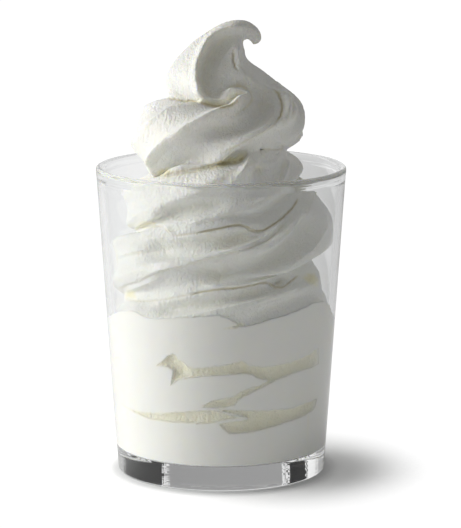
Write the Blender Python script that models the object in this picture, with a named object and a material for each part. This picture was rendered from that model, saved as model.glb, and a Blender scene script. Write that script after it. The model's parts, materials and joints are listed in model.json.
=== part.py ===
"""Soft-serve ice cream in a clear tumbler. Metres, +Z up, the glass standing on the origin."""

import math

import bmesh
import bpy
import numpy as np
from mathutils import Vector

# Glass, outside first. It is drawn in millimetres and made in metres.
MM = 0.001
GLASS_HEIGHT = 107.7
RIM_RADIUS = 43.6
FOOT_RADIUS = 36.4
WALL = 2.3
FLOOR = 8.5
HEEL_ROUND = 2.6
CORNER_ROUND = 1.6
GLASS_SIDES = 72

# Ice cream: one rope, wound left, front, right, back as it climbs.
CLEARANCE = 0.4
ROPE_HALF_WIDTH = 15.5
ROPE_OVERLAP = 1.2
PRESSED_HEIGHT = 48.0
CORE_RADIUS = 13.0
CORE_HEIGHT = 127.0
VOXEL = 0.75
CREAM_TRIANGLES = 9800

# Level of the crease under each turn, read at these parts of the turn: left, front left to right.
CREASE_TURNS = (0.0, 0.125, 0.25, 0.3125, 0.375, 0.5)
CREASES = (
    (5.0, 5.0, 5.0, 5.0, 5.0, 6.0),
    (23.2, 25.1, 25.5, 24.5, 25.3, 23.5),
    (37.7, 41.9, 42.5, 41.8, 41.8, 39.8),
    (60.7, 64.7, 70.5, 72.4, 71.9, 71.0),
    (84.9, 88.6, 90.6, 88.4, 92.6, 98.3),
    (105.7, 106.9, 113.6, 116.0, 116.1, 113.1),
    (129.2, 131.0, 130.6, 130.8, 132.1, 134.1),
)

# Reach of each turn from the axis: left, front, right, back.
REACH_TURNS = (0.0, 0.25, 0.5, 0.75)
REACHES = (
    (41.5, 41.5, 41.5, 41.5),
    (41.5, 41.5, 41.0, 41.0),
    (40.5, 38.8, 39.0, 39.5),
    (39.4, 38.5, 40.2, 37.5),
    (35.0, 32.8, 29.4, 30.2),
    (31.2, 31.4, 31.0, 29.0),
)

# The nozzle's crests around the rope (degrees) and the depth of the groove after each.
ROPE_CRESTS = (0.0, 85.0, 145.0, 200.0, 255.0, 305.0)
ROPE_GROOVES = (0.34, 0.15, 0.15, 0.17, 0.18, 0.18)
CREST_SOFTNESS = 0.22

# The rope at a number of turns: twist (degrees), groove depth, squareness below and above.
ROPE_STATE = (
    (0.0, -700.0, 1.0, 3.6, 3.0),
    (1.0, -520.0, 1.0, 3.6, 3.0),
    (1.5, -459.0, 1.0, 3.6, 3.0),
    (2.0, -345.0, 1.0, 3.6, 2.6),
    (2.25, -333.0, 1.1, 3.6, 2.8),
    (2.5, -300.0, 1.2, 3.6, 2.8),
    (3.0, -172.0, 1.25, 2.8, 2.6),
    (3.25, -127.0, 1.3, 2.6, 2.9),
    (3.5, -78.0, 1.3, 2.8, 3.0),
    (4.0, 15.0, 1.1, 2.6, 2.6),
    (4.25, 80.0, 1.1, 2.5, 2.5),
    (5.0, 224.0, 0.75, 2.3, 2.3),
    (5.15, 277.0, 0.8, 2.3, 2.3),
    (5.33, 360.0, 0.85, 2.3, 2.3),
    (5.42, 385.0, 0.85, 2.2, 2.2),
    (5.5, 435.0, 0.85, 2.2, 2.2),
    (5.75, 490.0, 0.8, 2.1, 2.1),
    (6.1, 497.0, 0.8, 2.1, 2.1),
)

# Where the rope tucks in under the tip: turns, x, y, z, half width.
TUCK = (
    (5.75, 0.0, 8.0, 128.5, 13.5),
    (6.0, -5.0, 3.0, 129.5, 11.5),
    (6.1, -4.0, 0.0, 128.5, 9.0),
)

# The tip: x, z, half width, half depth, tilt and twist of its sections (degrees).
TIP = (
    (4.0, 123.0, 12.0, 12.0, 0.0, 60.0),
    (3.1, 131.9, 22.8, 18.0, 0.0, 26.0),
    (0.5, 135.8, 20.4, 17.8, 0.0, 6.0),
    (-1.9, 140.4, 17.0, 16.2, 0.0, 0.0),
    (-2.9, 145.1, 12.4, 11.8, -3.0, 0.0),
    (-1.0, 149.8, 9.0, 8.6, -8.0, 2.0),
    (3.0, 153.8, 6.2, 5.8, -22.0, 6.0),
    (7.8, 155.2, 4.0, 3.6, -64.0, 8.0),
    (11.3, 153.6, 2.9, 2.7, -112.0, 8.0),
    (12.4, 151.6, 2.3, 2.2, -142.0, 8.0),
    (12.5, 150.0, 1.7, 1.6, -158.0, 8.0),
)
TIP_CRESTS = (-45.0, 10.0, 70.0, 130.0, 190.0, 237.0)
TIP_GROOVES = (0.14, 0.14, 0.14, 0.14, 0.08, 0.26)

# Air gaps left between the pressed ice cream and the glass: turns, level, half height.
GAPS = {
    "gap_upper": (
        (0.145, 42.6, 0.8), (0.175, 41.4, 4.4), (0.205, 41.3, 2.7), (0.25, 42.8, 2.0),
        (0.29, 43.3, 2.4), (0.365, 41.8, 3.4), (0.46, 42.2, 3.1), (0.58, 41.5, 0.8),
    ),
    "gap_slant": (
        (0.22, 28.1, 1.4), (0.25, 31.0, 1.7), (0.28, 33.3, 1.7), (0.32, 38.1, 2.0), (0.365, 41.1, 2.4),
    ),
    "gap_lower": (
        (0.19, 24.6, 0.6), (0.225, 25.9, 2.4), (0.265, 25.6, 4.2), (0.305, 23.9, 3.7),
        (0.38, 24.9, 2.9), (0.5, 23.8, 2.2), (0.62, 23.0, 0.7),
    ),
    "gap_wedge": (
        (0.245, 56.5, 0.6), (0.277, 58.9, 1.4), (0.31, 61.5, 2.0), (0.36, 64.3, 3.1), (0.44, 66.3, 3.7),
    ),
}
GAP_SINK = 0.3


def clear_scene():
    for obj in list(bpy.data.objects):
        bpy.data.objects.remove(obj, do_unlink=True)


def new_object(name, data):
    obj = bpy.data.objects.new(name, data)
    bpy.context.scene.collection.objects.link(obj)
    return obj


def material(name, color, roughness, transmission=0.0):
    made = bpy.data.materials.new(name)
    made.use_nodes = True
    shader = made.node_tree.nodes["Principled BSDF"]
    shader.inputs["Base Color"].default_value = (*color, 1.0)
    shader.inputs["Roughness"].default_value = roughness
    shader.inputs["Metallic"].default_value = 0.0
    shader.inputs["Transmission Weight"].default_value = transmission
    shader.inputs["IOR"].default_value = 1.5
    return made


def outer_wall(z):
    return FOOT_RADIUS + (RIM_RADIUS - FOOT_RADIUS) * z / GLASS_HEIGHT


def inner_wall(z):
    return outer_wall(z) - WALL


def arc(center, radius, start, end, steps):
    """Profile points of a round, angles in degrees."""
    angles = np.radians(np.linspace(start, end, steps))
    return [(center[0] + radius * math.cos(a), center[1] + radius * math.sin(a)) for a in angles]


def make_glass():
    lip = WALL / 2
    profile = [(0.0, 0.0)]
    profile += arc((outer_wall(HEEL_ROUND) - HEEL_ROUND, HEEL_ROUND), HEEL_ROUND, -90, 0, 6)
    profile += [(outer_wall(z), z) for z in (FLOOR + 1.0, 60.0)]
    profile += arc((outer_wall(GLASS_HEIGHT - lip) - lip, GLASS_HEIGHT - lip), lip, 0, 180, 7)
    profile += [(inner_wall(z), z) for z in (60.0, FLOOR + 6.0)]
    corner = (inner_wall(FLOOR) - CORNER_ROUND, FLOOR + CORNER_ROUND)
    profile += arc(corner, CORNER_ROUND, 0, -90, 5)
    profile += [(0.0, FLOOR)]

    mesh = bmesh.new()
    points = [mesh.verts.new((r * MM, 0.0, z * MM)) for r, z in profile]
    edges = [mesh.edges.new(pair) for pair in zip(points, points[1:])]
    bmesh.ops.spin(
        mesh,
        geom=points + edges,
        axis=(0.0, 0.0, 1.0),
        cent=(0.0, 0.0, 0.0),
        steps=GLASS_SIDES,
        angle=2 * math.pi,
    )
    bmesh.ops.remove_doubles(mesh, verts=mesh.verts, dist=1e-6)
    bmesh.ops.recalc_face_normals(mesh, faces=mesh.faces)
    data = bpy.data.meshes.new("glass")
    mesh.to_mesh(data)
    mesh.free()
    data.shade_smooth()
    glass = new_object("glass", data)
    glass.data.materials.append(material("clear_glass", (1.0, 1.0, 1.0), 0.02, 1.0))
    return glass


def smooth_rows(keys, rows, at):
    """Rows of values that pass smoothly through the rows given at the keys."""
    keys = np.array(keys, float)
    rows = np.array(rows, float).reshape(len(keys), -1)
    steps = np.diff(keys)[:, None]
    slopes = np.diff(rows, axis=0) / steps
    tangents = np.vstack([slopes[:1], slopes[1:], slopes[-1:]])
    tangents[1:-1] = (slopes[:-1] * steps[1:] + slopes[1:] * steps[:-1]) / (steps[1:] + steps[:-1])
    at = np.atleast_1d(at).astype(float)
    i = np.clip(np.searchsorted(keys, at) - 1, 0, len(keys) - 2)
    t = np.clip((at - keys[i])[:, None] / steps[i], 0.0, 1.0)
    start = (2 * t**3 - 3 * t**2 + 1) * rows[i] + (t**3 - 2 * t**2 + t) * steps[i] * tangents[i]
    end = (3 * t**2 - 2 * t**3) * rows[i + 1] + (t**3 - t**2) * steps[i] * tangents[i + 1]
    return start + end


def by_turn(rows, offsets, at):
    """A value kept as one row a turn, read at any number of turns."""
    keys = [turn + offset for turn in range(len(rows)) for offset in offsets]
    values = [value for row in rows for value in row]
    return smooth_rows(keys, values, at)[:, 0]


def groove(angles, crests, depths):
    """How deep the section is cut in at each angle: nothing on a crest."""
    edges = np.array(crests + (crests[0] + 360.0,))
    angles = np.mod(angles - edges[0], 360.0) + edges[0]
    i = np.clip(np.searchsorted(edges, angles, side="right") - 1, 0, len(depths) - 1)
    wave = np.abs(np.sin(np.pi * (angles - edges[i]) / (edges[i + 1] - edges[i])))
    soft = CREST_SOFTNESS
    wave = (np.hypot(wave, soft) - soft) / (math.hypot(1.0, soft) - soft)
    return wave * np.array(depths)[i]


def skin(mesh, rings):
    """Closed tube through the rings of points, in millimetres."""
    made = [[mesh.verts.new(Vector(p) * MM) for p in ring] for ring in rings]
    count = len(made[0])
    for low, high in zip(made, made[1:]):
        for j in range(count):
            k = (j + 1) % count
            mesh.faces.new((low[j], low[k], high[k], high[j]))
    mesh.faces.new(reversed(made[0]))
    mesh.faces.new(made[-1])


def pressed_radius(z):
    """Where the ice cream meets the glass, round its bottom corner too."""
    drop = np.clip(FLOOR + CORNER_ROUND - z, 0.0, CORNER_ROUND)
    return inner_wall(z) - CLEARANCE - CORNER_ROUND + np.sqrt(CORNER_ROUND**2 - drop**2)


def press(points):
    """Hold points inside the glass."""
    points[:, 2] = np.maximum(points[:, 2], FLOOR + CLEARANCE)
    radius = np.hypot(points[:, 0], points[:, 1])
    limit = np.where(points[:, 2] < GLASS_HEIGHT, pressed_radius(points[:, 2]), 1000.0)
    points[:, :2] *= np.minimum(1.0, limit / np.maximum(radius, 1e-6))[:, None]
    return points


def rope_rings(per_turn=64, around=64):
    coil = np.arange(0.0, 5.5001, 1 / 16)
    low = by_turn(CREASES, CREASE_TURNS, coil)
    high = by_turn(CREASES, CREASE_TURNS, coil + 1.0)
    axis_radius = by_turn(REACHES, REACH_TURNS, coil) - ROPE_HALF_WIDTH
    angle = np.radians(180.0 + 360.0 * coil)
    rows = np.stack(
        [
            axis_radius * np.cos(angle),
            axis_radius * np.sin(angle),
            (low + high) / 2,
            np.full(len(coil), ROPE_HALF_WIDTH),
            ROPE_OVERLAP * (high - low) / 2,
        ],
        axis=1,
    )
    tuck = np.array(TUCK)
    keys = np.concatenate([coil, tuck[:, 0]])
    rows = np.vstack([rows, tuck[:, [1, 2, 3, 4, 4]]])
    turns = np.linspace(0.0, keys[-1], round(per_turn * keys[-1]))
    rope = smooth_rows(keys, rows, turns)
    state = np.array(ROPE_STATE)
    twist, depth, below, above = smooth_rows(state[:, 0], state[:, 1:], turns).T

    center = rope[:, :3]
    along = np.gradient(center, axis=0)
    along /= np.linalg.norm(along, axis=1)[:, None]
    heading = np.radians(180.0 + 360.0 * np.minimum(turns, TUCK[0][0]))
    out = np.stack([np.cos(heading), np.sin(heading), np.zeros(len(turns))], axis=1)
    out -= (out * along).sum(axis=1)[:, None] * along
    out /= np.linalg.norm(out, axis=1)[:, None]
    up = np.cross(out, along)

    a = np.linspace(0.0, 2 * np.pi, around, endpoint=False)
    rings = []
    for i in range(len(turns)):
        power = np.where(np.sin(a) < 0.0, below[i], above[i])
        size = (np.abs(np.cos(a)) ** power + np.abs(np.sin(a)) ** power) ** (-1 / power)
        size *= 1.0 - depth[i] * groove(np.degrees(a) - twist[i], ROPE_CRESTS, ROPE_GROOVES)
        ring = center[i] + np.outer(size * np.cos(a) * rope[i, 3], out[i])
        rings.append(press(ring + np.outer(size * np.sin(a) * rope[i, 4], up[i])))
    return rings


def tip_rings(steps=70, around=64):
    rows = smooth_rows(range(len(TIP)), TIP, np.linspace(0, len(TIP) - 1, steps))
    a = np.linspace(0.0, 2 * np.pi, around, endpoint=False)
    rings = []
    for x, z, half_width, half_depth, tilt, twist in rows:
        right = (math.cos(math.radians(tilt)), 0.0, math.sin(math.radians(tilt)))
        size = 1.0 - groove(np.degrees(a) - twist, TIP_CRESTS, TIP_GROOVES)
        ring = np.array((x, 0.0, z)) + np.outer(size * np.cos(a) * half_width, right)
        rings.append(ring + np.outer(size * np.sin(a) * half_depth, (0.0, 1.0, 0.0)))
    return rings


def round_rings(levels, radius_at, around=96):
    """Level circles for the ice cream under the rope's surface."""
    a = np.linspace(0.0, 2 * np.pi, around, endpoint=False)
    circle = np.stack([np.cos(a), np.sin(a), np.zeros(around)], axis=1)
    return [circle * radius_at(z) + (0.0, 0.0, z) for z in levels]


def make_gap_cutters():
    """Tapering tubes along the inner wall, joined to one hidden mesh."""
    mesh = bmesh.new()
    a = np.linspace(0.0, 2 * np.pi, 16, endpoint=False)
    for rows in GAPS.values():
        rows = np.array(rows)
        steps = smooth_rows(rows[:, 0], rows[:, 1:], np.linspace(rows[0, 0], rows[-1, 0], 48))
        turns = np.linspace(rows[0, 0], rows[-1, 0], 48)
        rings = []
        for turn, (level, half) in zip(turns, steps):
            heading = math.radians(180.0 + 360.0 * turn)
            out = np.array((math.cos(heading), math.sin(heading), 0.0))
            center = out * (inner_wall(level) - CLEARANCE + GAP_SINK) + (0.0, 0.0, level)
            ring = center + np.outer(half * np.cos(a), out)
            rings.append(ring + np.outer(half * np.sin(a), (0.0, 0.0, 1.0)))
        skin(mesh, rings)
    bmesh.ops.recalc_face_normals(mesh, faces=mesh.faces)
    data = bpy.data.meshes.new("gap_cutter")
    mesh.to_mesh(data)
    mesh.free()
    cutter = new_object("gap_cutter", data)
    fuse = cutter.modifiers.new("fuse", "REMESH")
    fuse.mode = "VOXEL"
    fuse.voxel_size = 0.6 * MM
    cutter.display_type = "WIRE"
    cutter.hide_render = True
    return cutter


def make_ice_cream():
    mesh = bmesh.new()
    skin(mesh, rope_rings())
    skin(mesh, tip_rings())
    skin(mesh, round_rings((FLOOR + CLEARANCE, CORE_HEIGHT), lambda z: CORE_RADIUS))
    levels = (FLOOR + CLEARANCE, FLOOR + 0.8, FLOOR + CORNER_ROUND, PRESSED_HEIGHT)
    skin(mesh, round_rings(levels, pressed_radius))
    bmesh.ops.recalc_face_normals(mesh, faces=mesh.faces)
    data = bpy.data.meshes.new("ice_cream")
    mesh.to_mesh(data)
    mesh.free()
    cream = new_object("ice_cream", data)

    fuse = cream.modifiers.new("fuse", "REMESH")
    fuse.mode = "VOXEL"
    fuse.voxel_size = VOXEL * MM
    cut = cream.modifiers.new("gaps", "BOOLEAN")
    cut.operation = "DIFFERENCE"
    cut.solver = "MANIFOLD"
    cut.object = make_gap_cutters()
    even = cream.modifiers.new("even", "REMESH")
    even.mode = "VOXEL"
    even.voxel_size = VOXEL * MM
    even.use_smooth_shade = True
    lighten = cream.modifiers.new("lighten", "DECIMATE")
    bpy.context.view_layer.update()
    graph = bpy.context.evaluated_depsgraph_get()
    lighten.show_viewport = False
    lighten.show_render = False
    graph.update()
    dense = cream.evaluated_get(graph).to_mesh()
    dense.calc_loop_triangles()
    lighten.ratio = CREAM_TRIANGLES / len(dense.loop_triangles)
    lighten.show_viewport = True
    lighten.show_render = True
    lighten.use_collapse_triangulate = True
    cream.data.materials.append(material("vanilla_cream", (0.86, 0.86, 0.81), 0.55))
    return cream


clear_scene()
make_glass()
make_ice_cream()
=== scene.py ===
# Soft-serve ice cream pressed into a clear tumbler. The frame gives the sizes, this file the looks.
import json
import math
import time

import bpy
import numpy as np
from mathutils import Matrix, Vector, noise

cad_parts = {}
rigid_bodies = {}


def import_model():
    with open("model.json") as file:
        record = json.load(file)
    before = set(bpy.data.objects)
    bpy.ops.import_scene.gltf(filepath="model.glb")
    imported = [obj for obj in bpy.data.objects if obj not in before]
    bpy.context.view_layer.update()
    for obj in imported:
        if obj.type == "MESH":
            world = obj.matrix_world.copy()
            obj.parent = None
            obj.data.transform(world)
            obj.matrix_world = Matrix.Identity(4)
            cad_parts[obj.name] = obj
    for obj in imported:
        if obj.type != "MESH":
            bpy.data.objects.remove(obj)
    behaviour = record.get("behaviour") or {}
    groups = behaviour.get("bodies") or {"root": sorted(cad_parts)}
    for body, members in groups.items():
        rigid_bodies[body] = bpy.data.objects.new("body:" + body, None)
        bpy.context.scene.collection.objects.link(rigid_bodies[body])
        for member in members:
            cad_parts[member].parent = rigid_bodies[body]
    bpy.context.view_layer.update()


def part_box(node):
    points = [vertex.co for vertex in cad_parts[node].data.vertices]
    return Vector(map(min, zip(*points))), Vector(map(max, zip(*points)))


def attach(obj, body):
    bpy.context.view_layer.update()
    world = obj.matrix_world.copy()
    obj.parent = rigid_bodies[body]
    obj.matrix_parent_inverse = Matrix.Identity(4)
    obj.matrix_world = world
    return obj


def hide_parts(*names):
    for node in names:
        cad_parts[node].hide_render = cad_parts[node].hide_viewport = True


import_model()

startTime = time.time()
mm = 0.001
glassLow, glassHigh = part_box("glass")
scene = bpy.context.scene


def say(text):
    print(f"[{time.time() - startTime:5.1f} s] {text}")


# small helpers for working as by hand

def deselectAll():
    if bpy.context.mode != "OBJECT":
        bpy.ops.object.mode_set(mode="OBJECT")
    bpy.ops.object.select_all(action="DESELECT")


def pick(obj):
    deselectAll()
    obj.select_set(True)
    bpy.context.view_layer.objects.active = obj


def editMode(obj, kind="FACE"):
    pick(obj)
    bpy.ops.object.mode_set(mode="EDIT")
    bpy.ops.mesh.select_mode(type=kind)


def selectWhere(obj, kind, rule):
    # kind is "polygons" or "edges"; the selection is made with the mesh out of edit mode
    bpy.ops.mesh.select_all(action="DESELECT")
    bpy.ops.object.mode_set(mode="OBJECT")
    mesh = obj.data
    for item in getattr(mesh, kind):
        item.select = bool(rule(mesh, item))
    bpy.ops.object.mode_set(mode="EDIT")


def applyAll(obj):
    pick(obj)
    for modifier in list(obj.modifiers):
        bpy.ops.object.modifier_apply(modifier=modifier.name)


def meshObject(name, points, faces):
    data = bpy.data.meshes.new(name)
    data.from_pydata([tuple(p) for p in points], [], faces)
    obj = bpy.data.objects.new(name, data)
    scene.collection.objects.link(obj)
    return obj


# the glass, in millimetres
glassShape = {
    "rimRadius": 43.6,
    "footRadius": 36.4,
    "wall": 2.3,
    "floor": 8.5,
    "heelRound": 0.9,
    "cornerRound": 0.9,
    "sides": 144,
    "hold": 0.35,  # how near a row of faces runs beside each round
    "flatRing": 6.0,  # width of the ring of faces beside it in the floor and the underside
    "lipRound": 0.48,  # share of the wall
    "rows": (20.0, 100.0, 9),  # rows up the wall: first level, last level, number
    "bead": (  # level, and how far the wall swells in and out there
        (103.2, 0.0, 0.0), (104.0, 0.04, 0.01), (104.8, 0.18, 0.04), (105.6, 0.26, 0.06),
        (106.2, 0.22, 0.05),
    ),
}
glassHeight = glassHigh.z / mm


def outerWall(z):
    span = glassShape["rimRadius"] - glassShape["footRadius"]
    return glassShape["footRadius"] + span * z / glassHeight


def innerWall(z):
    return outerWall(z) - glassShape["wall"]


def ringEdge(level, radius, slack=0.3):
    # a rule that picks the round edge at one level and radius, in millimetres
    def rule(mesh, edge):
        for index in edge.vertices:
            x, y, z = mesh.vertices[index].co / mm
            if abs(z - level) > slack or abs(math.hypot(x, y) - radius) > slack:
                return False
        return True
    return rule


def makeGlass():
    s = glassShape
    deselectAll()
    bpy.ops.mesh.primitive_cone_add(
        vertices=s["sides"], radius1=s["footRadius"] * mm, radius2=s["rimRadius"] * mm,
        depth=glassHeight * mm, location=(0, 0, glassHeight / 2 * mm), end_fill_type="NGON",
    )
    obj = bpy.context.active_object
    obj.name = obj.data.name = "glassTumbler"
    bpy.ops.object.transform_apply(location=True, rotation=True, scale=True)

    # hollow it: the top face goes in by the wall, then down to the floor
    editMode(obj)
    selectWhere(obj, "polygons", lambda mesh, face: face.normal.z > 0.9)
    bpy.ops.mesh.inset(thickness=s["wall"] * mm)
    drop = glassHeight - s["floor"]
    bpy.ops.mesh.extrude_region_move(TRANSFORM_OT_translate={"value": (0, 0, -drop * mm)})
    narrow = innerWall(s["floor"]) / innerWall(glassHeight)
    bpy.ops.transform.resize(value=(narrow, narrow, 1), center_override=(0, 0, s["floor"] * mm))

    # rings in the underside and the floor keep their shading flat
    selectWhere(obj, "polygons", lambda mesh, face: face.normal.z < -0.9)
    bpy.ops.mesh.inset(thickness=(s["heelRound"] + s["hold"]) * mm)
    bpy.ops.mesh.inset(thickness=s["flatRing"] * mm)
    halfway = glassHeight / 2 * mm
    selectWhere(obj, "polygons", lambda mesh, face: face.normal.z > 0.9 and face.center.z < halfway)
    bpy.ops.mesh.inset(thickness=(s["cornerRound"] + s["hold"]) * mm)
    bpy.ops.mesh.inset(thickness=s["flatRing"] * mm)

    # round the heel, the inner corner and the lip
    bpy.ops.mesh.select_mode(type="EDGE")
    selectWhere(obj, "edges", ringEdge(0.0, s["footRadius"]))
    bpy.ops.mesh.bevel(offset=s["heelRound"] * mm, segments=8, profile=0.5, affect="EDGES")
    selectWhere(obj, "edges", ringEdge(s["floor"], innerWall(s["floor"])))
    bpy.ops.mesh.bevel(offset=s["cornerRound"] * mm, segments=6, profile=0.5, affect="EDGES")
    for radius in (s["rimRadius"], s["rimRadius"] - s["wall"]):
        selectWhere(obj, "edges", ringEdge(glassHeight, radius, 0.15))
        lip = s["wall"] * s["lipRound"] * mm
        bpy.ops.mesh.bevel(offset=lip, segments=6, profile=0.5, affect="EDGES")

    # rows up the wall, close to each round, keep its shading straight
    rows = [s["heelRound"] + s["hold"], s["floor"] + s["cornerRound"] + s["hold"]]
    rows += list(np.linspace(*s["rows"])) + [level for level, inner, outer in s["bead"]]
    for level in rows:
        bpy.ops.mesh.select_all(action="SELECT")
        bpy.ops.mesh.bisect(plane_co=(0, 0, level * mm), plane_no=(0, 0, 1))
    # the lip swells a little into a bead
    bpy.ops.mesh.select_mode(type="EDGE")
    for level, inner, outer in s["bead"]:
        for radius, more in ((innerWall(level), -inner), (outerWall(level), outer)):
            selectWhere(obj, "edges", ringEdge(level, radius, 0.12))
            wider = 1.0 + more / radius
            bpy.ops.transform.resize(value=(wider, wider, 1), center_override=(0, 0, level * mm))
    bpy.ops.mesh.select_all(action="SELECT")
    bpy.ops.mesh.normals_make_consistent(inside=False)
    pick(obj)
    bpy.ops.object.shade_smooth_by_angle(angle=math.radians(40))
    applyAll(obj)
    return obj


# the ice cream, in millimetres
creamShape = {
    "coilTurns": 5.5,
    "ropeHalfWidth": 15.5,
    "ropeOverlap": 1.2,  # how far each turn of the rope sinks into the next
    "crestSoftness": 0.06,
    "coreRadius": 13.0,
    "coreHeight": 127.0,
    "intoWall": 0.15,  # the pressed skin ends this far inside the glass
    "offFloor": 0.25,
    "clearance": 0.5,  # what isn't pressed stands this far off the wall
    "backLevel": 55.0,  # level of the upper edge of the contact behind
    "belowEdge": 0.6,  # the pressed skin ends this far below its drawn edge
    "shoulder": (  # how far its rounded top goes in, and up
        (0.4, 0.8), (1.0, 1.8), (2.0, 2.9), (3.5, 4.0), (9.0, 4.2),
    ),
    "voxel": 0.46,
    "triangles": 194000,
    "frontSmoothing": 45,  # rounds of averaging, here and below
    "facingSmoothing": 16,
    "normalSmoothing": 25,
    "blendSmoothing": 220,
    "creaseSmoothing": 14,
    "facing": (0.05, 0.3),  # what looks to the camera: the cosine it starts at, and its span
    "strokeGain": 1.5,
    "ledge": 0.55,  # height of the torn ledge along each crest behind
    "ledgeWidths": (2.4, 0.35),  # above the crest and below it
    "ledgeShown": (0.55, 0.15),  # share of it that shows, usually and at least
    "ledgesUpTo": 5.6,  # turns
    "skinPerDegree": 0.25,  # width of the skin for each degree round the rope
    "hollowBounceLight": (0.6, 60.0),  # painted bounce light and shade in the hollows of the pressed skin: how yellow, and up to which level
    "lumps": ((0.07, 1.2), (0.2, 0.16)),  # height and fineness of grain, and of slow lumps
    "fibres": 0.03,
}

# level of the crease under each turn, at these parts of the turn: left, front left to right
creaseTurns = (0.0, 0.125, 0.25, 0.3125, 0.375, 0.5)
creases = (
    (5.0, 5.0, 5.0, 5.0, 5.0, 6.0),
    (23.2, 25.1, 25.5, 24.5, 25.3, 23.5),
    (37.7, 41.9, 42.5, 41.8, 41.8, 39.8),
    (60.7, 64.7, 70.5, 72.4, 71.9, 71.0),
    (84.9, 88.6, 90.6, 88.4, 92.6, 98.3),
    (105.7, 106.9, 113.6, 116.0, 116.1, 113.1),
    (129.2, 131.0, 130.6, 130.8, 132.1, 134.1),
)

# reach of each turn from the axis: left, front, right, back
reachTurns = (0.0, 0.25, 0.5, 0.75)
reaches = (
    (41.5, 41.5, 41.5, 41.5),
    (41.5, 41.5, 41.0, 41.0),
    (40.5, 39.8, 39.6, 39.5),
    (39.4, 37.4, 40.2, 37.5),
    (35.0, 32.8, 28.7, 30.2),
    (31.2, 31.4, 29.6, 29.0),
)

# the nozzle's crests around the rope, in degrees, and the depth of the groove after each
ropeCrests = (0.0, 85.0, 145.0, 200.0, 255.0, 305.0)
ropeGrooves = (0.34, 0.15, 0.15, 0.17, 0.18, 0.18)

# turns, twist in degrees, groove depth, squareness below and above
ropeState = (
    (0.0, -700.0, 1.0, 3.6, 3.0),
    (1.0, -520.0, 1.0, 3.6, 3.0),
    (1.5, -459.0, 1.0, 3.6, 3.0),
    (2.0, -345.0, 1.0, 3.6, 2.6),
    (2.25, -333.0, 1.1, 3.6, 2.8),
    (2.5, -300.0, 1.2, 3.6, 2.8),
    (3.0, -172.0, 1.25, 2.8, 2.6),
    (3.25, -127.0, 1.3, 2.6, 2.9),
    (3.5, -78.0, 1.3, 2.8, 3.0),
    (4.0, 15.0, 0.75, 2.6, 2.6),
    (4.25, 80.0, 1.1, 2.5, 2.5),
    (5.0, 202.0, 0.75, 2.3, 2.3),
    (5.15, 266.0, 0.8, 2.3, 2.3),
    (5.33, 360.0, 0.85, 2.3, 2.3),
    (5.42, 385.0, 0.85, 2.2, 2.2),
    (5.5, 435.0, 0.85, 2.2, 2.2),
    (5.75, 490.0, 0.8, 2.1, 2.1),
    (6.1, 497.0, 0.8, 2.1, 2.1),
)

# where the rope tucks in under the tip: turns, x, y, z, half width
tuck = (
    (5.75, 0.0, 8.0, 128.5, 13.5),
    (6.0, -5.0, 3.0, 129.5, 11.5),
    (6.1, -4.0, 0.0, 128.5, 9.0),
)

# the tip: x, z, half width, half depth, tilt and twist of its sections in degrees
tip = (
    (4.0, 123.0, 12.0, 12.0, 0.0, 60.0),
    (3.1, 131.9, 22.8, 18.0, 0.0, 26.0),
    (0.5, 135.8, 20.4, 17.8, 0.0, 6.0),
    (-1.9, 140.4, 17.0, 16.2, 0.0, 0.0),
    (-2.9, 145.1, 12.4, 11.8, -3.0, 0.0),
    (-1.0, 149.8, 9.0, 8.6, -8.0, 2.0),
    (2.3, 153.5, 6.2, 5.8, -22.0, 6.0),
    (7.8, 155.2, 4.0, 3.6, -64.0, 8.0),
    (11.3, 153.6, 2.9, 2.7, -112.0, 8.0),
    (12.4, 151.9, 2.3, 2.2, -142.0, 8.0),
    (12.3, 150.7, 1.9, 1.8, -158.0, 8.0),
    (12.1, 150.0, 0.9, 0.9, -168.0, 8.0),
)
tipCrests = (-45.0, 10.0, 70.0, 130.0, 190.0, 237.0)
tipGrooves = (0.14, 0.14, 0.14, 0.14, 0.08, 0.26)

# The front is drawn as on the picture, in points of a 461 by 528 frame, from the top left.
pictureSize = (461, 528)

# the upper edge of what is pressed on the glass, left to right
contactTop = (
    (97, 319), (107, 317), (113, 314), (122, 311), (130, 311), (136, 312.5), (142, 316),
    (149, 319), (160, 319.5), (175, 318.5), (190, 317.5), (205, 317), (218, 316), (227, 317),
    (234, 321), (241, 326), (252, 324), (262, 321), (270, 319), (280, 316), (290, 312.5),
    (300, 309), (310, 304), (320, 301), (326, 300), (330, 306), (333, 315), (336, 322), (341, 332),
)

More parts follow.
